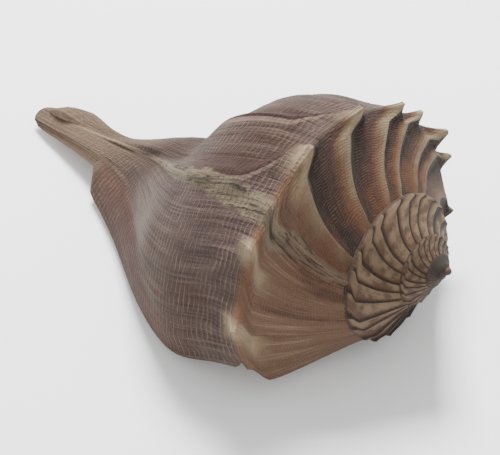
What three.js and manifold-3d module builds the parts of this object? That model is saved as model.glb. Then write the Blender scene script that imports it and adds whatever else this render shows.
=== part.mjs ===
import * as THREE from "three";
import { mergeVertices } from "three/addons/utils/BufferGeometryUtils.js";
import Module from "manifold-3d";

// A left-handed whelk-type shell, grown as one piece. Millimetres, +Z up, resting on its aperture.
// The shell's own axis is z while it is built, with the apex at the origin and the canal below.
// Growth runs counterclockwise seen from the apex. Angles are degrees, 0 at the lip, older ones negative.
const SHELL_LENGTH = 200;
const CANAL_END = 2.88;
const RADIUS = SHELL_LENGTH / CANAL_END; // of the shoulder at the lip
const WHORL_RATIO = 2.08; // growth in one turn
const TURNS = 4.75;
const WALL = 3.4;
const LIP_WALL = 2.4;
const COLUMELLA_RADIUS = 5.5;
const CORE_RADIUS = 2;
const CORE_END = 2.6;
const COLUMELLA_END = 2.7;
const NUCLEUS_RADIUS = 1.5;
const CAVITY_TURNS = 1.3;
const HOLLOW_LEAST = 1.2; // the hollow stops where it would be thinner
const AXIS_GAP = 1.3; // the whorls' own solids stop this far from the axis, and the core fills it
const TOLERANCE = 0.12;

// The whorl's outer section, in shoulder radii: distance from the axis, and depth below the apex.
const SECTION = [
  [0.445, 0.358],
  [0.52, 0.448],
  [0.62, 0.535],
  [0.72, 0.6],
  [0.82, 0.65],
  [0.9, 0.69],
  [0.945, 0.73],
  [0.955, 0.8],
  [0.945, 0.95],
  [0.925, 1.25],
  [0.76, 1.6],
  [0.45, 2.0],
  [0.26, 2.35],
  [0.18, 2.65],
  [0.15, CANAL_END],
];
const SHOULDER = 6; // index of the shoulder edge in SECTION
const STATIONS = 27;
const HOLLOW_STATIONS = 20;

// How far the growth line runs ahead of the shoulder: at the suture, down the body, at the canal.
const LEAN_SUTURE = 40;
const LEAN_BODY = 6;
const LEAN_CANAL = -12;

// The canal bends off the axis below this depth, towards this azimuth.
const BEND_START = 1.2;
const BEND = 0.07;
const BEND_AZIMUTH = -120;
const CANAL_WINDING = 1.5;
const CANAL_SHORTENING = 0.93;
const CANAL_BLUNTNESS = 0.06; // rounds the canal's end, longest on its middle

// Knobs of the last whorl: angle, height, the angle over which the newer side falls away, and the
// height of the fold below. Older ones are low and evenly spaced.
const KNOBS = [
  [-27, 0.12, 12, 0.006],
  [-53, 0.085, 10, 0.006],
  [-92, 0.085, 16, 0.05],
  [-119, 0.095, 24, 0.065],
  [-144, 0.08, 20, 0.02],
  [-158, 0.09, 11, 0.01],
  [-178, 0.145, 19, 0.01],
  [-190, 0.11, 8, 0.01],
  [-218, 0.09, 7, 0.01],
];
const OLDER_KNOB = [0.025, 12, 0];
const OLDER_KNOB_STEP = 17;
const KNOB_RISE = 6; // degrees from the hollow up to the crest, on the older side
const RIB_FALL = 26;
const RIB_HEIGHT = 0.036;
const OLDER_RIB_HEIGHT = 0.014;
const FOLD_LEAN = 15;

// Waists and swellings of the older growth towards the canal: depth, width and height of each.
const OLD_CANAL = [
  [1.8, 0.16, -0.07],
  [2.2, 0.18, 0.11],
  [2.52, 0.1, -0.05],
  [2.74, 0.07, 0.1],
];

// The healed break, a low ridge along an old lip, and the flared lip itself.
const SCAR_ANGLE = -74;
const SCAR_HEIGHT = 0.014;
const SCAR_LEAN = 8; // degrees by which the break bows forward at the shoulder
const SHOULDER_SLACK = 0.05; // the shoulder rounds off towards the lip
const LIP_FULLNESS = 0.03;
const LIP_RETREAT = 22; // degrees by which the lip's edge draws back along the canal
const FLARE_ANGLE = 16;
const FLARE_WIDENING = 22;
const FLARE_HEIGHT = 0.045;

// Turns the built shell into its resting pose.
const REST_SPIN = -75.43; // about its own axis, which brings the aperture to +X
const REST_TIP = 74.62; // about Y, which lays the axis along X with the aperture down

const rad = THREE.MathUtils.degToRad;
const smooth = THREE.MathUtils.smoothstep;
const growth = (angle) => WHORL_RATIO ** (angle / 360);

const outline = (points, count) => {
  const curve = new THREE.SplineCurve(points.map(([r, d]) => new THREE.Vector2(r, d)));
  return Array.from({ length: count }, (_, i) => curve.getPoint(i / (count - 1)));
};
const OUTER = outline(SECTION, STATIONS);
const FINE = outline(SECTION, 60);
const SHOULDER_AT = SHOULDER / (SECTION.length - 1);

const lean = (angle, station, point) => {
  if (station < SHOULDER_AT) {
    const inwards = THREE.MathUtils.clamp((0.95 - point.x) / 0.505, 0, 1);
    return LEAN_SUTURE * (0.2 * smooth(inwards, 0, 0.14) + 0.8 * inwards ** 1.3);
  }
  const body = LEAN_BODY * smooth(point.y, 0.8, 1.5) + LEAN_CANAL * smooth(point.y, 1.5, 2.9);
  return body - LIP_RETREAT * smooth(point.y, 2.26, 2.38) * smooth(angle, -45, 0);
};

const allKnobs = () => {
  const knobs = [...KNOBS];
  for (let a = KNOBS.at(-1)[0] - OLDER_KNOB_STEP; a > -360 * TURNS - 60; a -= OLDER_KNOB_STEP) {
    knobs.push([a, ...OLDER_KNOB]);
  }
  return [...knobs.reverse(), [12, 0, 12, 0], [40, 0, 12, 0], [70, 0, 12, 0]];
};
const ALL_KNOBS = allKnobs();

// The rib and the spine at an angle, 1 on their crest, with the knob's and the fold's height.
const crest = (angle) => {
  const next = ALL_KNOBS.findIndex(([knob]) => knob > angle);
  const [older, newer] = [ALL_KNOBS[next - 1], ALL_KNOBS[next]];
  const gap = newer[0] - older[0];
  const since = angle - older[0];
  const rise = Math.max(0, 1 - (newer[0] - angle) / KNOB_RISE);
  const rib = Math.max(0, 1 - since / Math.min(gap * 0.85, RIB_FALL));
  const spine = Math.max(0, 1 - since / Math.min(gap * 0.85, older[2]));
  const nearest = rise > spine ? newer : older;
  return {
    rib: Math.max(rib ** 1.4, rise ** 1.2),
    spine: Math.max(spine ** 1.4, rise ** 1.6),
    height: nearest[1],
    foldHeight: nearest[3],
  };
};

const bump = (x, centre, width) => Math.exp(-(((x - centre) / width) ** 2));

const waist = (angle, depth) => {
  const swell = OLD_CANAL.reduce((sum, [at, width, height]) => sum + height * bump(depth, at, width), 0);
  return smooth(-angle, 72, 84) * swell;
};

// How far the surface stands out from the plain section and how far it lifts, in shoulder radii.
const rampRelief = (angle, station, radius) => {
  const { rib, spine, height } = crest(angle);
  const tip = 0.7 * bump(station, SHOULDER_AT + 0.005, 0.03) * spine ** 1.3;
  const knob = height * (tip + 0.4 * bump(station, SHOULDER_AT + 0.01, 0.085) * spine);
  const young = smooth(angle, -75, -60);
  const old = 1 - smooth(angle, -345, -320);
  const ribHeight = THREE.MathUtils.lerp(RIB_HEIGHT, OLDER_RIB_HEIGHT, old) * (1 - 0.8 * young);
  const ribPlace = smooth(radius, 0.445, 0.53) * (1 - 0.35 * smooth(radius, 0.8, 0.95));
  return { knob, ribs: ribHeight * rib * ribPlace };
};

const bodyRelief = (angle, station, depth) => {
  const below = smooth(depth, 0.76, 1.0);
  const { rib, spine, height, foldHeight } = crest(angle - FOLD_LEAN * below);
  const tip = 0.7 * bump(station, SHOULDER_AT + 0.005, 0.03) * spine ** 1.3;
  const knob = height * (tip + 0.4 * bump(station, SHOULDER_AT + 0.01, 0.085) * spine);
  const folds = foldHeight * (0.4 * rib + 0.6 * spine) * below * (1 - smooth(depth, 1.3, 2.1));
  const flarePlace = smooth(depth, 1.1, 2.1) * (1 - smooth(depth, 2.3, 2.38));
  const start = -FLARE_ANGLE - FLARE_WIDENING * smooth(depth, 1.25, 2.0);
  const flare = FLARE_HEIGHT * flarePlace * (smooth(angle, start, 0) - 0.45 * bump(angle, start, 9));
  const full = LIP_FULLNESS * smooth(angle, -45, -5) * bump(depth, 1.25, 0.3);
  const end = 0.012 * smooth(depth, CANAL_END - 0.13, CANAL_END) ** 2;
  return { knob, body: folds + flare + full + waist(angle, depth) - end };
};

const relief = (angle, station, point) => {
  const slack = SHOULDER_SLACK * smooth(angle, -20, 4) * bump(station, SHOULDER_AT + 0.02, 0.13);
  const healed = SCAR_ANGLE + SCAR_LEAN * bump(station, SHOULDER_AT + 0.02, 0.12);
  const ridge = bump(angle, healed, 2.6) - 0.6 * bump(angle, healed + 5, 3);
  const scar = SCAR_HEIGHT * ridge * (1 - smooth(point.y, 2.4, 2.6));
  if (station < SHOULDER_AT) {
    const { knob, ribs } = rampRelief(angle, station, point.x);
    return { out: knob + scar - slack, lift: 0.5 * knob + ribs + 0.3 * slack };
  }
  const { knob, body } = bodyRelief(angle, station, point.y);
  const flank = Math.min(1, Math.abs(angle + 60) / 70) ** 2;
  const blunt = CANAL_BLUNTNESS * smooth(point.y, 2.55, CANAL_END) * flank;
  return { out: knob + body + scar - slack, lift: 0.5 * knob + 0.3 * slack + blunt };
};

const bend = (x, y, z) => {
  const depth = Math.max(0, -z / RADIUS - BEND_START) / 1.6;
  const shift = BEND * RADIUS * depth ** 2;
  const a = rad(BEND_AZIMUTH);
  return [x + shift * Math.cos(a), y + shift * Math.sin(a), z];
};

// Down the canal the whorl winds in faster, and grows longer more slowly, than the rest of it.
const winding = (depth) => 1 + CANAL_WINDING * smooth(depth, 1.3, 2.6);
const lengthening = (depth) => 1 - CANAL_SHORTENING * smooth(depth, 2.1, CANAL_END);
const cylinder = (radius, depth, azimuth) => {
  const size = growth(azimuth);
  return [RADIUS * radius * size ** winding(depth), -RADIUS * depth * size ** lengthening(depth)];
};

const place = ([radius, z], azimuth) => {
  const a = rad(azimuth);
  return bend(radius * Math.cos(a), radius * Math.sin(a), z);
};

// One row of the outer surface and the row it closes on, beside the axis.
const bodyRow = (angle) => {
  const row = [];
  OUTER.forEach((point, i) => {
    const station = i / (STATIONS - 1);
    const azimuth = angle + lean(angle, station, point);
    const { out, lift } = relief(angle, station, point);
    row.push(place(cylinder(point.x + out, point.y - lift, azimuth), azimuth));
  });
  for (let i = STATIONS - 1; i >= 0; i--) {
    const azimuth = angle + lean(angle, i / (STATIONS - 1), OUTER[i]);
    const depth = THREE.MathUtils.lerp(0.34, COLUMELLA_END, i / (STATIONS - 1));
    const [, z] = cylinder(0, depth, azimuth);
    row.push(place([AXIS_GAP * growth(azimuth), z], azimuth));
  }
  return row;
};

// The radius at height z of a line of [radius, z] points that runs down.
const radiusAt = (line, z) => {
  let radius = 0;
  for (let i = 1; i < line.length; i++) {
    const [r0, z0] = line[i - 1];
    const [r1, z1] = line[i];
    if (z <= z0 && z > z1) {
      radius = Math.max(radius, r0 + ((r1 - r0) * (z - z0)) / (z1 - z0));
    }
  }
  return radius;
};

// count points spread evenly along a line of [radius, z] points.
const spread = (line, count) => {
  const path = new THREE.CurvePath();
  for (let i = 1; i < line.length; i++) {
    path.add(new THREE.LineCurve(new THREE.Vector2(...line[i - 1]), new THREE.Vector2(...line[i])));
  }
  return path.getSpacedPoints(count - 1).map((p) => [p.x, p.y]);
};

// The hollow's section: the outer one moved in by the wall, then back up beside the whorl before.
const hollowRow = (azimuth) => {
  const size = growth(azimuth);
  const wall = THREE.MathUtils.lerp(WALL, LIP_WALL, smooth(azimuth, -40, 0)) * Math.min(1, size ** 0.5);
  const own = FINE.map((p) => cylinder(p.x + Math.min(0, waist(azimuth, p.y)), p.y, azimuth));
  const before = FINE.map((p) => cylinder(p.x + waist(azimuth - 360, p.y), p.y, azimuth - 360));
  const innerAt = (z) => {
    const columella = COLUMELLA_RADIUS * size * (1 - 0.5 * smooth(-z / SHELL_LENGTH, 0.5, 0.95));
    return Math.max(radiusAt(before, z) + 0.8 * size, columella);
  };
  const inset = own.map(([r, z], i) => {
    const [ra, za] = own[Math.max(0, i - 1)];
    const [rb, zb] = own[Math.min(own.length - 1, i + 1)];
    const length = Math.hypot(rb - ra, zb - za);
    return [r + ((zb - za) / length) * wall, z - ((rb - ra) / length) * wall];
  });
  const down = [];
  for (const [r, z] of inset) {
    const open = r - innerAt(z) > HOLLOW_LEAST;
    if (open) {
      down.push([r, z]);
    } else if (down.length > 3) {
      break;
    }
  }
  const [endRadius, endZ] = down.at(-1);
  if (endZ < own.at(-1)[1] + 2) {
    down.push([endRadius, own.at(-1)[1] - 4]);
  }
  const top = down[0][1] - 0.3;
  const bottom = down.at(-1)[1];
  const row = spread(down, HOLLOW_STATIONS);
  for (let i = 0; i < HOLLOW_STATIONS; i++) {
    const z = THREE.MathUtils.lerp(bottom, top, (i / (HOLLOW_STATIONS - 1)) ** 0.8);
    row.push([innerAt(z), z]);
  }
  return row.map((point) => place(point, azimuth));
};

// A closed skin over a run of rows with the same number of points.
const skin = (rows) => {
  const n = rows[0].length;
  const index = [];
  for (let i = 0; i + 1 < rows.length; i++) {
    for (let j = 0; j < n; j++) {
      const a = i * n + j;
      const b = i * n + ((j + 1) % n);
      index.push(a, b, a + n, b, b + n, a + n);
    }
  }
  const cap = (base, flip) => {
    for (let j = 0; j + 1 < n / 2; j++) {
      const a = base + j;
      const b = base + j + 1;
      const c = base + n - 1 - j;
      const d = base + n - 2 - j;
      const faces = [a, c, b, b, c, d];
      index.push(...(flip ? faces.reverse() : faces));
    }
  };
  cap(0, false);
  cap((rows.length - 1) * n, true);
  const geometry = new THREE.BufferGeometry();
  geometry.setAttribute("position", new THREE.Float32BufferAttribute(rows.flat(2), 3));
  geometry.setIndex(index);
  return geometry;
};

const wasm = await Module();
wasm.setup();

const solid = (geometry) => {
  geometry.deleteAttribute("normal");
  geometry.deleteAttribute("uv");
  const merged = mergeVertices(geometry, 1e-4);
  const mesh = new wasm.Mesh({
    numProp: 3,
    vertProperties: merged.attributes.position.array,
    triVerts: new Uint32Array(merged.index.array),
  });
  return new wasm.Manifold(mesh);
};

// Sweeps rows from one angle to another in half-turn runs, and joins the runs.
const sweep = (row, from, to, stepAt) => {
  let joined = null;
  let angle = from;
  let rows = [row(angle)];
  let start = angle;
  while (angle < to) {
    angle = Math.min(to, angle + stepAt(angle));
    rows.push(row(angle));
    if (angle - start >= 150 || angle === to) {
      const run = solid(skin(rows));
      joined = joined ? joined.add(run) : run;
      rows = [rows.at(-1)];
      start = angle;
    }
  }
  return joined;
};

// Rows fall on each knob of the last whorl and on the foot of its steep side.
const KEY_ANGLES = KNOBS.flatMap(([angle]) => [angle, angle - KNOB_RISE]);
const bodyStep = (angle) => {
  const step = angle < -720 ? 12 : angle < -380 ? 8 : 5;
  const ahead = KEY_ANGLES.map((key) => key - angle).filter((gap) => gap > 0.5 && gap < step * 1.4);
  return ahead.length ? Math.min(...ahead) : step;
};
const body = sweep(bodyRow, -360 * TURNS, 0, bodyStep);

const coreProfile = [new THREE.Vector2(0, -0.5)];
for (let i = 0; i <= 24; i++) {
  const z = THREE.MathUtils.lerp(-1, -RADIUS * CORE_END, i / 24);
  coreProfile.push(new THREE.Vector2(Math.min(CORE_RADIUS, -0.12 * z), z));
}
coreProfile.push(new THREE.Vector2(0, -RADIUS * CORE_END - 0.5));
const coreShape = new THREE.LatheGeometry(coreProfile.reverse(), 12);
const corePoints = coreShape.attributes.position;
for (let i = 0; i < corePoints.count; i++) {
  // The lathe turns about y, so y becomes the shell's z.
  const at = bend(corePoints.getX(i), -corePoints.getZ(i), corePoints.getY(i));
  corePoints.setXYZ(i, ...at);
}
const core = solid(coreShape);

const nucleusShape = new THREE.IcosahedronGeometry(NUCLEUS_RADIUS, 2);
nucleusShape.translate(0, 0, -1.2);
const nucleus = solid(nucleusShape);

const hollow = sweep(hollowRow, -360 * CAVITY_TURNS, LEAN_SUTURE + 6, () => 9);
const grown = body.add(core).add(nucleus).subtract(hollow).simplify(TOLERANCE);

// Pinholes where two whorls touch are closed by keeping the outer skin alone.
const whole = grown.decompose().reduce((a, b) => (a.volume() > b.volume() ? a : b));
const out = whole.getMesh();
const geometry = new THREE.BufferGeometry();
geometry.setAttribute("position", new THREE.Float32BufferAttribute(out.vertProperties, 3));
geometry.setIndex(new THREE.Uint32BufferAttribute(out.triVerts, 1));
geometry.computeVertexNormals();

const material = new THREE.MeshStandardMaterial({ color: 0x96877b, roughness: 0.6, metalness: 0 });
const shell = new THREE.Mesh(geometry, material);
shell.name = "shell";
shell.rotation.set(0, rad(REST_TIP), rad(REST_SPIN), "YZX");
const box = new THREE.Box3().setFromObject(shell, true);
shell.position.set(-(box.min.x + box.max.x) / 2, -(box.min.y + box.max.y) / 2, -box.min.z);

const group = new THREE.Group();
group.add(shell);
export default group;
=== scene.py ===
import math
import bmesh
import bpy
import numpy as np
from mathutils import Matrix, Vector


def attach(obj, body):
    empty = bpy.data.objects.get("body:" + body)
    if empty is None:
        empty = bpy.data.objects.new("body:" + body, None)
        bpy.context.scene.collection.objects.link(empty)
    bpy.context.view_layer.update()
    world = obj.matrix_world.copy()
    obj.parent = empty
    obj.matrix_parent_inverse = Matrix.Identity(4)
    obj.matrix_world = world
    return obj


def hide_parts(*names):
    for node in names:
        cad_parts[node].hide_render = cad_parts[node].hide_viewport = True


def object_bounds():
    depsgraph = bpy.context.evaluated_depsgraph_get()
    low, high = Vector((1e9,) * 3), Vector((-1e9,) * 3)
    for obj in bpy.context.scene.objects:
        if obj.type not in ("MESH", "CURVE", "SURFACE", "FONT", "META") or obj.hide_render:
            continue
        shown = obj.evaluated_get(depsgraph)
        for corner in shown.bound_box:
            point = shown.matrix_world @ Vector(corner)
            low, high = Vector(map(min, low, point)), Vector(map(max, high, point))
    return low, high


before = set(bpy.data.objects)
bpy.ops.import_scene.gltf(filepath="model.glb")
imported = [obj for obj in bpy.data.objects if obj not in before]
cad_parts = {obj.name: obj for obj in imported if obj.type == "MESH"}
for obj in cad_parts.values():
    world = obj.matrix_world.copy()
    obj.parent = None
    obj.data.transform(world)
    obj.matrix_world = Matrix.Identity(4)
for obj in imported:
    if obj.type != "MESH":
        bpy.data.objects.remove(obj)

cad_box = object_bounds()

# ---- The shell ------------------------------------------------------------------------------
# A left-handed whelk's shell: one piece of aragonite, which the animal laid down along its lip
# as it grew. It is a section, from the suture over the knobbed shoulder to the canal, that turns
# about the axis and grows as it goes. Angles are degrees, 0 at the lip, older ones negative.

SHELL_LENGTH = 0.200
CANAL_END = 2.88
RADIUS = SHELL_LENGTH / CANAL_END
WHORL_RATIO = 2.08
TURNS = 4.75
WALL = 0.0034
LIP_WALL = 0.0022
COLUMELLA_RADIUS = 0.0055
CORE_RADIUS = 0.002
CORE_END = 2.6
CORE_SIDES = 12
COLUMELLA_END = 2.7
AXIS_GAP = 0.0013
NUCLEUS_RADIUS = 0.0015
NUCLEUS_DEPTH = 0.0012
HOLLOW_TURNS = 1.3
HOLLOW_LEAST = 0.0012
HOLLOW_STATIONS = 46
LONGEST_RUN = 150
CREASE_ANGLE = math.radians(38)

SECTION = np.array([
    (0.445, 0.358), (0.52, 0.448), (0.62, 0.535), (0.72, 0.60), (0.82, 0.65), (0.90, 0.69),
    (0.945, 0.73), (0.955, 0.80), (0.945, 0.95), (0.925, 1.25), (0.76, 1.60), (0.45, 2.00),
    (0.26, 2.35), (0.18, 2.65), (0.15, CANAL_END),
])
SHOULDER = 6 / (len(SECTION) - 1)
LEAN_SUTURE = 40
LEAN_BODY = 6
LEAN_CANAL = -12
BEND_START = 1.2
BEND = 0.07
BEND_AZIMUTH = math.radians(-120)
CANAL_WINDING = 1.5
CANAL_SHORTENING = 0.93
CANAL_BLUNTNESS = 0.06
REST_SPIN = math.radians(-75.43)
REST_TIP = math.radians(74.62)

# Each knob of the last whorl: its angle, its height in shoulder radii, the angle over which its
# newer side falls away, and the height of the fold below it.
KNOBS = [
    (-27, 0.12, 12, 0.006), (-53, 0.085, 10, 0.006), (-92, 0.085, 16, 0.05),
    (-119, 0.095, 24, 0.065), (-144, 0.08, 20, 0.02), (-158, 0.09, 11, 0.01),
    (-178, 0.145, 19, 0.01), (-190, 0.11, 8, 0.01), (-218, 0.09, 7, 0.01),
]
# Height, fall and fold of the older whorls' low knobs, and the degrees from each to the next.
OLDER_KNOB = (0.025, 12, 0.0)
OLDER_KNOB_STEPS = (14, 19, 13, 22, 17)
KNOB_RISE = 6
RIB_FALL = 26
RIB_HEIGHT = 0.036
OLDER_RIB_HEIGHT = 0.014
FOLD_LEAN = 15
# Waists and swellings of the older growth towards the canal: depth, width and height of each.
OLD_CANAL = [(1.8, 0.16, -0.07), (2.2, 0.18, 0.11), (2.52, 0.10, -0.05), (2.74, 0.07, 0.10)]
LIP_FULLNESS = 0.03
SCAR_ANGLE = -74
SCAR_HEIGHT = 0.014
SCAR_LEAN = 8
SHOULDER_SLACK = 0.05
FLARE_ANGLE = 16
FLARE_WIDENING = 22
FLARE_HEIGHT = 0.045
LIP_RETREAT = 22

knobs = list(KNOBS)
while knobs[-1][0] > -360 * TURNS - 60:
    step = OLDER_KNOB_STEPS[len(knobs) % len(OLDER_KNOB_STEPS)]
    knobs.append((knobs[-1][0] - step, *OLDER_KNOB))
knobs = np.array(knobs[::-1] + [(12, 0, 12, 0), (40, 0, 12, 0), (70, 0, 12, 0)])
knob_angles = knobs[:, 0]


def smooth(x, low, high):
    t = np.clip((x - low) / (high - low), 0, 1)
    return t * t * (3 - 2 * t)


def bump(x, centre, width):
    return np.exp(-(((x - centre) / width) ** 2))


def growth(angle):
    return WHORL_RATIO ** (angle / 360)


def section_at(t):
    """Points on the smooth line through SECTION, t from 0 at the suture to 1 at the canal's end."""
    n = len(SECTION)
    at = np.clip(np.asarray(t), 0, 1) * (n - 1)
    i = np.minimum(at.astype(int), n - 2)
    w = (at - i)[..., None]
    p0, p1 = SECTION[np.maximum(i - 1, 0)], SECTION[i]
    p2, p3 = SECTION[i + 1], SECTION[np.minimum(i + 2, n - 1)]
    v0, v1 = (p2 - p0) * 0.5, (p3 - p1) * 0.5
    return ((2 * p1 - 2 * p2 + v0 + v1) * w ** 3 + (-3 * p1 + 3 * p2 - 2 * v0 - v1) * w ** 2
            + v0 * w + p1)


fine_t = np.linspace(0, 1, 800)
fine_arc = np.r_[0, np.cumsum(np.hypot(*np.diff(section_at(fine_t), axis=0).T))]
fine_arc -= np.interp(SHOULDER, fine_t, fine_arc)


def arc_at(t):
    """How far along the section a station is, in shoulder radii, from 0 at the shoulder."""
    return np.interp(t, fine_t, fine_arc)


def lean(angle, t, point):
    """How far ahead of its growth angle a station lies: growth lines are not straight."""
    inwards = np.clip((0.95 - point[..., 0]) / 0.505, 0, 1)
    ramp = LEAN_SUTURE * (0.2 * smooth(inwards, 0, 0.14) + 0.8 * inwards ** 1.3)
    depth = point[..., 1]
    body = LEAN_BODY * smooth(depth, 0.8, 1.5) + LEAN_CANAL * smooth(depth, 1.5, 2.9)
    body = body - LIP_RETREAT * smooth(depth, 2.26, 2.38) * smooth(angle, -45, 0)
    return np.where(t < SHOULDER, ramp, body)


def phase_of(angle):
    """The knobs counted off along the growth: whole numbers on the knobs, fractions between."""
    return np.interp(angle, knob_angles, np.arange(len(knob_angles)))


def crest(angle):
    """The rib and the spine at an angle (1 on the crest), with the knob's and the fold's height."""
    at = phase_of(angle)
    older = np.clip(np.floor(at).astype(int), 0, len(knobs) - 2)
    gap = knob_angles[older + 1] - knob_angles[older]
    since, until = (at - older) * gap, (older + 1 - at) * gap
    rise = np.clip(1 - until / KNOB_RISE, 0, 1)
    rib = np.clip(1 - since / np.minimum(gap * 0.85, RIB_FALL), 0, 1)
    spine = np.clip(1 - since / np.minimum(gap * 0.85, knobs[older, 2]), 0, 1)
    nearest = np.where(rise > spine, older + 1, older)
    return (np.maximum(rib ** 1.4, rise ** 1.2), np.maximum(spine ** 1.4, rise ** 1.6),
            knobs[nearest, 1], knobs[nearest, 3])


def waist(angle, depth):
    """The older growth's uneven outline towards the canal, up to the healed break."""
    swell = sum(height * bump(depth, centre, width) for centre, width, height in OLD_CANAL)
    return smooth(-angle, 72, 84) * swell


def waves(x, y, seed, count=5):
    """Smooth, irregular waves between about -1 and 1, one long in y for each unit of x."""
    rng = np.random.default_rng(seed)
    total = np.zeros(np.broadcast(x, y).shape)
    for _ in range(count):
        fx, fy = rng.uniform(0.5, 1.6), rng.uniform(-0.6, 0.6)
        total = total + np.sin(2 * math.pi * (fx * x + fy * y + rng.uniform()))
    return total / math.sqrt(count) / 1.2


def relief(angle, t, point):
    """How far the surface stands out from, and above, the plain section, in shoulder radii."""
    ramp = np.where(t < SHOULDER, 1, 0)
    depth = point[..., 1]
    below = smooth(depth, 0.76, 1.0) * (1 - ramp)
    rib, spine, height, fold = crest(angle - FOLD_LEAN * below)
    young = smooth(angle, -75, -60)
    old = 1 - smooth(angle, -345, -320)
    knob = height * (0.7 * bump(t, SHOULDER + 0.005, 0.03) * spine ** 1.3
                     + 0.4 * bump(t, SHOULDER + 0.01, 0.085) * spine)
    ribs = (RIB_HEIGHT + (OLDER_RIB_HEIGHT - RIB_HEIGHT) * old) * rib * (1 - 0.8 * young)
    ribs = ribs * ramp * smooth(point[..., 0], 0.445, 0.53)
    ribs = ribs * (1 - 0.35 * smooth(point[..., 0], 0.8, 0.95))
    folds = fold * (0.4 * rib + 0.6 * spine) * below * (1 - smooth(depth, 1.3, 2.1))
    healed = SCAR_ANGLE + SCAR_LEAN * bump(t, SHOULDER + 0.02, 0.12)
    scar = SCAR_HEIGHT * (bump(angle, healed, 2.6) - 0.6 * bump(angle, healed + 5, 3))
    scar = scar * (1 + 0.4 * waves(t * 14, angle / 9, 8)) * (1 - smooth(depth, 2.4, 2.6))
    flared = (1 - ramp) * smooth(depth, 1.1, 2.1) * (1 - smooth(depth, 2.3, 2.38))
    start = -FLARE_ANGLE - FLARE_WIDENING * smooth(depth, 1.25, 2.0)
    flare = FLARE_HEIGHT * flared * (smooth(angle, start, 0) - 0.45 * bump(angle, start, 9))
    slack = smooth(angle, -20, 4) * bump(t, SHOULDER + 0.02, 0.13)
    wrinkle = 0.0015 * waves(angle / 2.6, t * 9, 3) + 0.002 * waves(angle / 9, t * 5, 5)
    full = LIP_FULLNESS * (1 - ramp) * smooth(angle, -45, -5) * bump(depth, 1.25, 0.3)
    tip = 0.012 * smooth(depth, CANAL_END - 0.13, CANAL_END) ** 2
    out = knob + folds + flare + full + scar - SHOULDER_SLACK * slack - tip
    out = out + wrinkle * (1 - 0.5 * ramp) + waist(angle, depth) * (1 - ramp)
    flank = np.clip(np.abs(angle + 60) / 70, 0, 1) ** 2
    blunt = CANAL_BLUNTNESS * smooth(depth, 2.55, CANAL_END) * flank
    return out, 0.5 * knob + ribs + 0.3 * SHOULDER_SLACK * slack + blunt


def cylinder(radius, depth, azimuth):
    size = growth(azimuth)
    wind = 1 + CANAL_WINDING * smooth(depth, 1.3, 2.6)
    stretch = 1 - CANAL_SHORTENING * smooth(depth, 2.1, CANAL_END)
    return RADIUS * radius * size ** wind, -RADIUS * depth * size ** stretch


def place(radius, z, azimuth):
    a = np.radians(azimuth)
    shift = BEND * RADIUS * (np.maximum(0, -z / RADIUS - BEND_START) / 1.6) ** 2
    x = radius * np.cos(a) + shift * math.cos(BEND_AZIMUTH)
    y = radius * np.sin(a) + shift * math.sin(BEND_AZIMUTH)
    return np.stack([x, y, np.broadcast_to(z, x.shape)], -1)


def body_rows(angles, stations):
    """Rows of the outer surface, each closed on a row beside the axis, with (angle, station)."""
    angle, t = np.meshgrid(angles, stations, indexing="ij")
    point = section_at(t)
    azimuth = angle + lean(angle, t, point)
    out, lift = relief(angle, t, point)
    outer = place(*cylinder(point[..., 0] + out, point[..., 1] - lift, azimuth), azimuth)
    depth = 0.34 + (COLUMELLA_END - 0.34) * t
    _, z = cylinder(0 * depth, depth, azimuth)
    inner = place(AXIS_GAP * growth(azimuth), z, azimuth)
    rows = np.concatenate([outer, inner[:, ::-1]], 1)
    uv = np.stack([angle, arc_at(t)], -1)
    return rows, np.concatenate([uv, uv[:, ::-1]], 1)


def radius_at(line, z):
    """The radius at each height z of a line of (radius, z) points that runs down."""
    radius = np.zeros_like(z)
    for (r0, z0), (r1, z1) in zip(line[:-1], line[1:]):
        if z1 < z0:
            inside = (z <= z0) & (z > z1)
            here = r0 + (r1 - r0) * (z - z0) / (z1 - z0)
            radius = np.where(inside, np.maximum(radius, here), radius)
    return radius


def spread(line, count):
    length = np.r_[0, np.cumsum(np.hypot(*np.diff(line, axis=0).T))]
    at = np.linspace(0, length[-1], count)
    return np.stack([np.interp(at, length, line[:, i]) for i in (0, 1)], 1)


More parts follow.
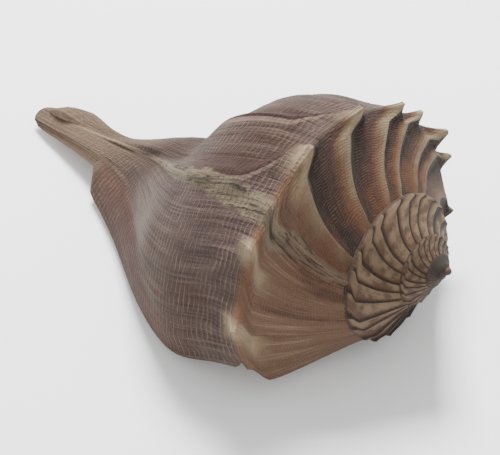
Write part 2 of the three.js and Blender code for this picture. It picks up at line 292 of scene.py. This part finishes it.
def hollow_rows(azimuths, count):
    """Rows of the hollow: the section moved in by the wall, then back beside the whorl before."""
    fine = section_at(np.linspace(0, 1, 90))
    rows, uvs = [], []
    for azimuth in azimuths:
        size = growth(azimuth)
        wall = (WALL + (LIP_WALL - WALL) * smooth(azimuth, -40, 0)) * min(1, size ** 0.5)
        narrow = np.minimum(0, waist(azimuth, fine[:, 1]))
        own = np.stack(cylinder(fine[:, 0] + narrow, fine[:, 1], azimuth), 1)
        uneven = waist(azimuth - 360, fine[:, 1])
        before = np.stack(cylinder(fine[:, 0] + uneven, fine[:, 1], azimuth - 360), 1)

        def inner_at(z):
            columella = COLUMELLA_RADIUS * size * (1 - 0.5 * smooth(-z / SHELL_LENGTH, 0.5, 0.95))
            return np.maximum(radius_at(before, z) + 0.0008 * size, columella)

        along = np.gradient(own, axis=0)
        along /= np.hypot(*along.T)[:, None]
        inset = own + wall * np.stack([along[:, 1], -along[:, 0]], 1)
        clear = inset[:, 0] - inner_at(inset[:, 1]) > HOLLOW_LEAST
        first = int(np.argmax(clear))
        shut = np.nonzero(~clear[first + 4:])[0]
        last = first + 4 + int(shut[0]) if len(shut) else len(inset)
        down = inset[first:last]
        if down[-1, 1] < own[-1, 1] + 0.002:
            down = np.vstack([down, (down[-1, 0], own[-1, 1] - 0.004)])
        row = spread(down, count)
        z = np.linspace(0, 1, count) ** 0.8
        z = down[-1, 1] + (down[0, 1] - 0.0003 - down[-1, 1]) * z
        back = np.stack([inner_at(z), z], 1)
        full = np.vstack([row, back])
        rows.append(place(full[:, 0], full[:, 1], azimuth))
        t = arc_at(np.r_[np.linspace(0, 1, count), np.linspace(1, 0, count)])
        uvs.append(np.stack([np.full(2 * count, azimuth), t], 1))
    return np.array(rows), np.array(uvs)


def make_object(name, verts, faces, uv, kind):
    """A mesh with two UV maps: growth (knob phase, arc) and age (turns, 1 inside the hollow)."""
    mesh = bpy.data.meshes.new(name)
    mesh.from_pydata(verts.tolist(), [], faces)
    corner = np.empty(len(mesh.loops), dtype=np.int64)
    mesh.loops.foreach_get("vertex_index", corner)
    phase = phase_of(uv[:, 0])
    maps = {"growth": np.stack([phase, uv[:, 1]], 1), "age": np.stack([uv[:, 0] / 360, kind], 1)}
    for layer, values in maps.items():
        data = mesh.uv_layers.new(name=layer)
        data.uv.foreach_set("vector", values[corner].astype(np.float32).ravel())
    made = bpy.data.objects.new(name, mesh)
    bpy.context.scene.collection.objects.link(made)
    return made


def skin(name, rows, uv, kind):
    """A closed skin over rows that each close on themselves."""
    count, n = rows.shape[:2]
    faces = []
    for i in range(count - 1):
        for j in range(n):
            a, b = i * n + j, i * n + (j + 1) % n
            faces.append((a, b, b + n, a + n))
    end = (count - 1) * n
    for j in range(n // 2 - 1):
        a, b, c, d = j, j + 1, n - 1 - j, n - 2 - j
        faces += [(a, c, b), (c, d, b), (end + a, end + b, end + c), (end + b, end + d, end + c)]
    kinds = np.full(count * n, float(kind))
    return make_object(name, rows.reshape(-1, 3), faces, uv.reshape(-1, 2), kinds)


def combine(base, other, operation):
    modifier = base.modifiers.new(operation.lower(), "BOOLEAN")
    modifier.operation = operation
    modifier.solver = "MANIFOLD"
    modifier.object = other
    bpy.ops.object.select_all(action="DESELECT")
    bpy.context.view_layer.objects.active = base
    base.select_set(True)
    bpy.ops.object.modifier_apply(modifier=modifier.name)
    bpy.data.objects.remove(other)


def runs(low, high, steps):
    """Angles from low to high in runs of about LONGEST_RUN degrees that share their ends."""
    angles = [low]
    while angles[-1] < high - 1e-6:
        angles.append(min(high, angles[-1] + steps(angles[-1])))
    start = 0
    while start < len(angles) - 1:
        end = start + 1
        while end < len(angles) - 1 and angles[end] - angles[start] < LONGEST_RUN:
            end += 1
        yield np.array(angles[start:end + 1])
        start = end


# The whorls, in runs of less than half a turn that are joined as they come. The stations of the
# section lie closest together at the shoulder, where the knobs are.
STATIONS = np.unique(np.r_[np.linspace(0, SHOULDER - 0.04, 26),
                           np.linspace(SHOULDER - 0.04, SHOULDER + 0.06, 20),
                           np.linspace(SHOULDER + 0.06, 1, 50)])


def step_at(angle):
    return 5 if angle < -1080 else 3 if angle < -440 else 1.5


bpy.ops.object.select_all(action="DESELECT")
shell = None
for number, angles in enumerate(runs(-360 * TURNS, 0, step_at)):
    rows, uv = body_rows(angles, STATIONS)
    piece = skin(f"whorl_{number}", rows, uv, 0)
    if shell is None:
        shell = piece
    else:
        combine(shell, piece, "UNION")

# The core of the columella, a thin rod up the axis.
heights = np.linspace(-0.001, -RADIUS * CORE_END, 40)
turn = np.linspace(0, 360, CORE_SIDES + 1)[:-1]
core = []
for z in heights:
    radius = min(CORE_RADIUS, -0.12 * z)
    core.append(place(np.full(CORE_SIDES, radius), np.full(CORE_SIDES, z), turn))
end = place(np.zeros(1), np.array([heights[-1] - 0.0005]), np.zeros(1))
verts = np.vstack([[[0, 0, -0.0005]], *core, end])
next_side = [(j + 1) % CORE_SIDES for j in range(CORE_SIDES)]
faces = [(0, 1 + j, 1 + next_side[j]) for j in range(CORE_SIDES)]
for i in range(len(core) - 1):
    ring = 1 + i * CORE_SIDES
    for j in range(CORE_SIDES):
        a, b = ring + j, ring + next_side[j]
        faces.append((a, a + CORE_SIDES, b + CORE_SIDES, b))
tail = len(verts) - 1
last_ring = tail - CORE_SIDES
faces += [(tail, last_ring + next_side[j], last_ring + j) for j in range(CORE_SIDES)]
growth_uv = np.tile([-100.0, 1.0], (len(verts), 1))
axis = make_object("core", verts, faces, growth_uv, np.zeros(len(verts)))
combine(shell, axis, "UNION")

# The nucleus, the hatchling's own round shell, at the apex.
bpy.ops.mesh.primitive_uv_sphere_add(segments=32, ring_count=20, radius=NUCLEUS_RADIUS,
                                     location=(0, 0, -NUCLEUS_DEPTH))
nucleus = bpy.context.object
bpy.ops.object.transform_apply(location=True, rotation=True, scale=True)
while nucleus.data.uv_layers:
    nucleus.data.uv_layers.remove(nucleus.data.uv_layers[0])
for layer, value in (("growth", (0.5, 0.3)), ("age", (-TURNS, 0.0))):
    data = nucleus.data.uv_layers.new(name=layer)
    data.uv.foreach_set("vector", np.tile(np.float32(value), len(nucleus.data.loops)))
combine(shell, nucleus, "UNION")

# The hollow, cut out from the lip back past the last whorl.
for number, azimuths in enumerate(runs(-360 * HOLLOW_TURNS, LEAN_SUTURE + 6, lambda angle: 3)):
    rows, uv = hollow_rows(azimuths, HOLLOW_STATIONS)
    combine(shell, skin(f"hollow_{number}", rows, uv, 1), "DIFFERENCE")

shell.name = "whelk_shell"
shell.data.name = "whelk_shell"

# Only the outer skin is kept where two whorls leave a pinhole between them.
clean = bmesh.new()
clean.from_mesh(shell.data)
seen, groups = set(), []
for vert in clean.verts:
    if vert in seen:
        continue
    group, stack = [], [vert]
    seen.add(vert)
    while stack:
        v = stack.pop()
        group.append(v)
        for link in v.link_edges:
            w = link.other_vert(v)
            if w not in seen:
                seen.add(w)
                stack.append(w)
    groups.append(group)
groups.sort(key=len)
bmesh.ops.delete(clean, geom=[v for g in groups[:-1] for v in g], context="VERTS")
laid = Matrix.Rotation(REST_TIP, 4, "Y") @ Matrix.Rotation(REST_SPIN, 4, "Z")
bmesh.ops.transform(clean, matrix=laid, verts=clean.verts)
corners = np.array([v.co for v in clean.verts])
low, high = corners.min(0), corners.max(0)
cad_low, cad_high = np.array(cad_box[0]), np.array(cad_box[1])
fit = float(min(1.0, ((cad_high - cad_low) / (high - low)).min()))
shift = Vector(((cad_low + cad_high) / 2 - (low + high) / 2 * fit).tolist())
fitted = Matrix.Translation(shift) @ Matrix.Scale(fit, 4)
bmesh.ops.transform(clean, matrix=fitted, verts=clean.verts)
clean.to_mesh(shell.data)
clean.free()

bpy.ops.object.select_all(action="DESELECT")
bpy.context.view_layer.objects.active = shell
shell.select_set(True)
bpy.ops.object.shade_smooth_by_angle(angle=CREASE_ANGLE)

# The shell's own aragonite, weathered on a beach: matt taupe under raised pale spiral cords,
# crossed by growth lines, stained brown and darkened with painted shade on the older side of
# each rib, and worn to cream on the knobs and along the healed break. Painted shade also lies in
# the folds' grooves, the cracks and the wrinkles, with a painted highlight on each fold's crest.
# The inside keeps its smooth glaze.
aragonite = bpy.data.materials.new("Weathered aragonite")
aragonite.use_nodes = True
tree = aragonite.node_tree
tree.nodes.clear()


def linear(code):
    """A colour's sRGB hex code as linear RGBA."""
    parts = [int(code[i:i + 2], 16) / 255 for i in (0, 2, 4)]
    return (*[p / 12.92 if p <= 0.04045 else ((p + 0.055) / 1.055) ** 2.4 for p in parts], 1.0)


def add(kind, inputs, output=0, stops=None, **settings):
    """Adds a node to the tree with its settings, values and links, and gives one output."""
    made = tree.nodes.new("ShaderNode" + kind)
    for key, value in settings.items():
        setattr(made, key, value)
    for key, value in inputs.items():
        if isinstance(value, bpy.types.NodeSocket):
            tree.links.new(value, made.inputs[key])
        else:
            made.inputs[key].default_value = linear(value) if isinstance(value, str) else value
    if stops:
        elements = made.color_ramp.elements
        while len(elements) < len(stops):
            elements.new(0.5)
        for element, (at, code) in zip(elements, stops):
            element.position = at
            element.color = linear(code)
    return made.outputs[output]


growth_map = add("UVMap", {}, uv_map="growth")
age_map = add("UVMap", {}, uv_map="age")
phase = add("SeparateXYZ", {0: growth_map}, 0)
arc = add("SeparateXYZ", {0: growth_map}, 1)
turns = add("SeparateXYZ", {0: age_map}, 0)
inside = add("SeparateXYZ", {0: age_map}, 1)
since_rib = add("Math", {0: phase}, operation="FRACT")


def between(value, low, high, start=0.0, end=1.0):
    """A value carried from low..high to start..end, eased at both ends."""
    return add("MapRange", {"Value": value, "From Min": low, "From Max": high, "To Min": start,
                            "To Max": end}, interpolation_type="SMOOTHSTEP")


def times(*values):
    product = values[0]
    for value in values[1:]:
        product = add("Math", {0: product, 1: value}, operation="MULTIPLY")
    return product


def plus(first, second):
    return add("Math", {0: first, 1: second}, operation="ADD")


def mottle(across, along, detail=3.0, rough=0.55, shift=0.0):
    """Noise on the growth: cells this many to a turn, and this many to a shoulder radius."""
    spot = add("CombineXYZ", {0: times(turns, across), 1: times(arc, along), 2: shift})
    return add("TexNoise", {"Vector": spot, "Scale": 1.0, "Detail": detail, "Roughness": rough})


def blend(low, high, share):
    return add("Mix", {"Factor": share, 6: low, 7: high}, output=2, data_type="RGBA")


# Spiral cords about 2.3 mm apart on the body, and striae about 1 mm apart above the shoulder,
# both wavering and broken, crossed by fine growth lines.
CORDS_PER_RADIUS = 30
STRIAE_PER_RADIUS = 62
RELIEF = 0.0008
broad = mottle(9, 2.2, shift=3.0)
streaks = mottle(34, 1.3, detail=4.0, shift=9.0)
lines = mottle(330, 2.0, detail=3.0, shift=5.0)
grain = mottle(520, 70, detail=4.0, rough=0.65, shift=14.0)
waver = plus(times(plus(mottle(40, 5, detail=2.0, shift=1.0), -0.5), 0.05),
             times(plus(mottle(170, 9, detail=2.0, shift=15.0), -0.5), 0.014))
cord_place = plus(arc, waver)
cord_wave = add("Math", {0: times(cord_place, 2 * math.pi * CORDS_PER_RADIUS)}, operation="SINE")
cord = between(cord_wave, 0.35, 1.0)
stria_wave = add("Math", {0: times(cord_place, 2 * math.pi * STRIAE_PER_RADIUS)}, operation="SINE")
stria = between(stria_wave, 0.1, 1.0)
on_body = between(arc, -0.015, 0.05)
newer = between(turns, -0.215, -0.195)

# Body colour: grey-mauve near the break, browner towards the lip, with a pale worn patch.
taupe = blend("3A2921", "4C3D37", between(broad, 0.35, 0.65))
taupe = blend(taupe, "40281C", times(between(streaks, 0.5, 0.72), 0.7))
mauve = times(newer, between(turns, -0.09, -0.17), between(arc, 1.25, 0.5))
taupe = blend(taupe, "4A3938", times(mauve, 0.6))
taupe = blend(taupe, "3F2A1E", times(between(turns, -0.14, -0.08), between(arc, 0.15, 0.45), 0.55))
pale_patch = times(between(turns, -0.20, -0.15), between(turns, -0.07, -0.11),
                   between(arc, 0.75, 1.0), between(arc, 1.5, 1.2))
taupe = blend(taupe, "6B5F58", times(pale_patch, between(broad, 0.3, 0.6, 0.45, 1.0)))
taupe = blend(taupe, "1E120D", times(between(lines, 0.52, 0.70), 0.65))
taupe = blend(taupe, "6B5950", times(between(lines, 0.48, 0.30), 0.5))
cord_strength = between(mottle(60, 9, detail=4.0, shift=7.0), 0.36, 0.62, 0.08, 0.65)
body = blend(taupe, "705B4C", times(cord, cord_strength))
body = blend(body, "87705C", times(between(arc, 1.55, 2.1), 0.75))

# Ramp colour through one rib's growth: cream crest, orange-brown fall, and a dark hollow that is
# part brown pigment, part painted shade.
ragged = plus(since_rib, times(plus(mottle(60, 26, detail=3.0, shift=2.0), -0.5), 0.12))
ragged = plus(ragged, times(plus(mottle(14, 3, shift=16.0), -0.5), 0.35))
# The dark end of this ramp, in the hollow before the next rib, is brown pigment deepened with
# painted shade.
stain_and_hollow_shade = add("ValToRGB", {0: ragged}, stops=[
    (0.0, "6E5D49"), (0.12, "624C38"), (0.26, "51331E"), (0.40, "361E13"), (0.66, "25150E"),
    (0.95, "1D110C")])
worn_cream = blend("7C674F", "573F2E", between(mottle(26, 6, shift=22.0), 0.4, 0.62))
fine_ragged = plus(since_rib, times(plus(mottle(160, 70, detail=3.0, shift=21.0), -0.5), 0.22))
line = times(between(fine_ragged, 0.74, 0.90), between(since_rib, 1.0, 0.985))
dark_spell = between(mottle(5, 0, detail=1.0, shift=23.0), 0.52, 0.60)
wide_line = times(between(fine_ragged, 0.3, 0.75), dark_spell)
pale_stain = blend(worn_cream, "4A220E", times(between(fine_ragged, 0.52, 0.82), 0.75))
pale_stain = blend(pale_stain, "170804", plus(line, wide_line))
ginger = times(between(arc, -0.28, -0.42), between(mottle(20, 4, shift=17.0), 0.4, 0.6))
stain_and_hollow_shade = blend(stain_and_hollow_shade, "502A10", times(ginger, 0.55))
young_ramp = blend("644B3A", "553826", between(streaks, 0.4, 0.7))
young_ramp = blend(young_ramp, "86705A", times(between(lines, 0.46, 0.30), 0.6))
young_ramp = blend(young_ramp, "35201A", times(between(streaks, 0.56, 0.66), 0.45))
young_ramp = blend(young_ramp, "6A4426", times(between(arc, -0.06, -0.01), 0.35))
ramp = blend(pale_stain, stain_and_hollow_shade, between(turns, -0.96, -0.86))
ramp = blend(ramp, young_ramp, between(turns, -0.235, -0.20))
stria_strength = between(mottle(90, 20, shift=8.0), 0.38, 0.6, 0.05, 0.32)
ramp = blend(ramp, "725C47", times(stria, stria_strength))
line_strength = between(turns, -0.23, -0.26, 0.15, 0.5)
ramp = blend(ramp, "1B0F09", times(between(lines, 0.55, 0.75), line_strength))
nearly_apex = between(turns, -TURNS + 0.25, -TURNS + 0.05)
ramp = blend(ramp, "473D34", between(turns, -2.7, -3.3))
ramp = blend(ramp, "301206", nearly_apex)
skin_colour = blend(ramp, body, on_body)


def at_fold(knob, before, after):
    """1 in a band along the fold below a knob, from degrees before its crest to degrees after."""
    crest_at = plus((knob + 2) / 360, between(arc, 0.03, 0.27, 0, FOLD_LEAN / 360))
    since = plus(turns, times(crest_at, -1))
    since = plus(since, times(plus(mottle(30, 4, shift=11.0), -0.5), 0.008))
    rise = between(since, -before / 360, -before / 720)
    fall = between(since, after / 360, after / 720)
    return times(rise, fall, between(arc, 0.05, 0.2), between(arc, 0.95, 0.6))


# The folds: a dark rust-brown band of painted shade in the groove on the older side, and a painted
# highlight along the crest.
for knob, share in ((-92, 0.75), (-119, 0.9)):
    # Painted shade in the groove on the older side of the fold.
    skin_colour = blend(skin_colour, "2E130A", times(at_fold(knob, 12, 0.2), share))
    # Painted highlight along the fold's crest.
    skin_colour = blend(skin_colour, "7E6A5C", times(at_fold(knob, 0.2, 3), 0.55))

# Worn cream on the knobs, down their newer flank.
near_edge = times(between(arc, -0.2, -0.03), between(arc, 0.13, 0.02))
on_crest = plus(between(since_rib, 0.4, 0.05), between(since_rib, 0.93, 0.99))
rubbed = between(mottle(60, 14), 0.3, 0.6, 0.3, 0.85)
worn = times(near_edge, on_crest, between(turns, -0.66, -0.5), rubbed)
skin_colour = blend(skin_colour, "8D7D62", worn)

# The healed break: a rough olive-cream band, cracked, with wrinkles either side of it; painted
# shade darkens the cracks and the wrinkles.
at_shoulder = times(between(arc, -0.3, 0.0), between(arc, 0.65, 0.05))
scar_place = plus(turns, times(at_shoulder, -SCAR_LEAN / 360))
scar_place = plus(scar_place, times(plus(mottle(0, 9, shift=4.0), -0.5), 0.014))
scar_place = plus(scar_place, times(plus(mottle(90, 22, shift=18.0), -0.5), 0.010))
wide = between(arc, 0.9, 0.0, 0.003, 0.009)
scar = times(between(plus(scar_place, wide), -0.212, -0.206),
             between(plus(scar_place, times(wide, -1)), -0.196, -0.204))
scar_colour = blend("6F624F", "8C7A64", between(arc, 1.3, 2.0))
skin_colour = blend(skin_colour, scar_colour, times(scar, between(arc, -0.35, -0.05, 0.35, 0.9)))
crack_noise = mottle(190, 7, detail=6.0, rough=0.7, shift=6.0)
crack_and_shade = times(scar, between(crack_noise, 0.54, 0.60), between(arc, 1.9, 1.3))
# Painted shade in the cracks of the healed break.
skin_colour = blend(skin_colour, "2A1F17", times(crack_and_shade, 0.75))
near_scar = times(between(turns, -0.235, -0.21), between(turns, -0.165, -0.2))
wrinkle_shade = times(near_scar, between(mottle(260, 3, detail=4.0, shift=19.0), 0.55, 0.68))
# Painted shade in the wrinkles beside the break.
skin_colour = blend(skin_colour, "2F221B", times(wrinkle_shade, 0.5))

# The stained strip at the lip.
strip_edge = between(arc, 0.5, 1.4, 0.05, 0.098)
strip = times(between(plus(turns, strip_edge), -0.004, 0.008), between(arc, 0.25, 0.6),
              between(arc, 1.85, 1.75))
skin_colour = blend(skin_colour, "462315", times(strip, between(cord, 0, 1, 0.6, 0.2)))

# The glaze inside, where the animal kept the wall smooth.
glaze = blend("B8A488", "9A6F4C", between(mottle(6, 1.5, shift=12.0), 0.4, 0.7))
colour = blend(skin_colour, glaze, inside)

# Fine relief: cords, growth lines, striae and pitting stand out, cracks and wrinkles are sunk.
pitting = mottle(160, 16, detail=4.0, shift=20.0)
height = plus(times(cord, 0.55, on_body), times(lines, 1.3))
for layer, amount in ((stria, 0.3), (grain, 0.9), (pitting, 1.2), (crack_and_shade, -2.0),
                      (wrinkle_shade, -0.8)):
    height = plus(height, times(layer, amount))
height = times(height, add("Math", {0: 1.0, 1: inside}, operation="SUBTRACT"))
relief_normal = add("Bump", {"Strength": 1.0, "Distance": RELIEF, "Height": height})
shine = add("MapRange", {"Value": inside, "To Min": 0.8, "To Max": 0.25})
surface = add("BsdfPrincipled", {"Base Color": colour, "Roughness": shine, "IOR": 1.53,
                                 "Specular IOR Level": 0.3, "Normal": relief_normal})
tree.links.new(surface, tree.nodes.new("ShaderNodeOutputMaterial").inputs["Surface"])

shell.data.materials.clear()
shell.data.materials.append(aragonite)
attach(shell, "root")
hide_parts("shell")

# ---- The table, the light and the camera ------------------------------------------------------
# A sweep of matt white card, lit by one soft lamp from above and by a large pale sky. The camera
# looks down on the shell from the apex side.

bpy.ops.mesh.primitive_plane_add(size=6, location=(0, 0, cad_box[0][2]))
floor = bpy.context.object
floor.name = "floor"
card = bpy.data.materials.new("White card")
card.use_nodes = True
card.node_tree.nodes["Principled BSDF"].inputs["Base Color"].default_value = linear("F6F6F6")
card.node_tree.nodes["Principled BSDF"].inputs["Roughness"].default_value = 0.9
floor.data.materials.append(card)

world = bpy.data.worlds.new("studio")
bpy.context.scene.world = world
world.use_nodes = True
world.node_tree.nodes["Background"].inputs["Color"].default_value = (1, 1, 1, 1)
world.node_tree.nodes["Background"].inputs["Strength"].default_value = 1.2

LAMP_PLACE = Vector((-0.35, 0.45, 0.9))
LAMP_AIM = Vector((0, 0, 0.04))
lamp = bpy.data.lights.new("key", "AREA")
lamp.size = 0.35
lamp.energy = 36
key = bpy.data.objects.new("key", lamp)
key.location = LAMP_PLACE
key.rotation_euler = (LAMP_AIM - LAMP_PLACE).to_track_quat("-Z", "Y").to_euler()
bpy.context.scene.collection.objects.link(key)

CAMERA_AZIMUTH = math.radians(36.36)
CAMERA_ELEVATION = math.radians(52.09)
CAMERA_DISTANCE = 0.8195
CAMERA_AIM = Vector((0.0229, -0.0116, 0.040))
CAMERA_LENS = 161.4
camera_data = bpy.data.cameras.new("camera")
camera_data.lens = CAMERA_LENS
camera_data.sensor_width = 36
camera = bpy.data.objects.new("camera", camera_data)
bpy.context.scene.collection.objects.link(camera)
level = math.cos(CAMERA_ELEVATION)
towards = Vector((math.sin(CAMERA_AZIMUTH) * level, -math.cos(CAMERA_AZIMUTH) * level,
                  math.sin(CAMERA_ELEVATION)))
camera.location = CAMERA_AIM + towards * CAMERA_DISTANCE
camera.rotation_euler = (-towards).to_track_quat("-Z", "Y").to_euler()
bpy.context.scene.camera = camera
